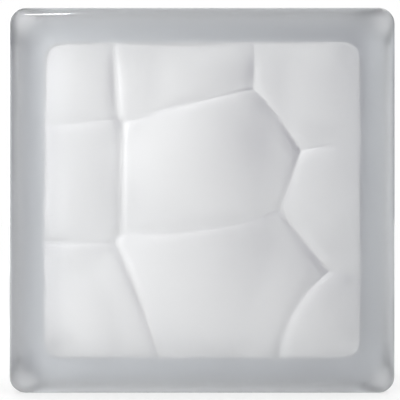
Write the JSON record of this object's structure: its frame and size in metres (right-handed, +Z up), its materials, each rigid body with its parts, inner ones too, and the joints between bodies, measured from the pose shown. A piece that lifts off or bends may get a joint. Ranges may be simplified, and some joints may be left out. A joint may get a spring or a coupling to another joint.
{
  "type": "glass block",
  "caption": "Square hollow glass block with satin faces, soft waves pressed inside, rounded rims and a mortar channel round its sides, for a translucent wall.",
  "frame": {"origin": "middle of the underside, in the plane of the bottom rims that the block stands on", "axes": "+X along the width, +Y from the front face to the back face, +Z up"},
  "size_m": [0.19, 0.08, 0.19],
  "materials": {
    "satin_glass": "satin"
  },
  "bodies": {
    "root": {"glass_block": "satin_glass"}
  },
  "joints": []
}
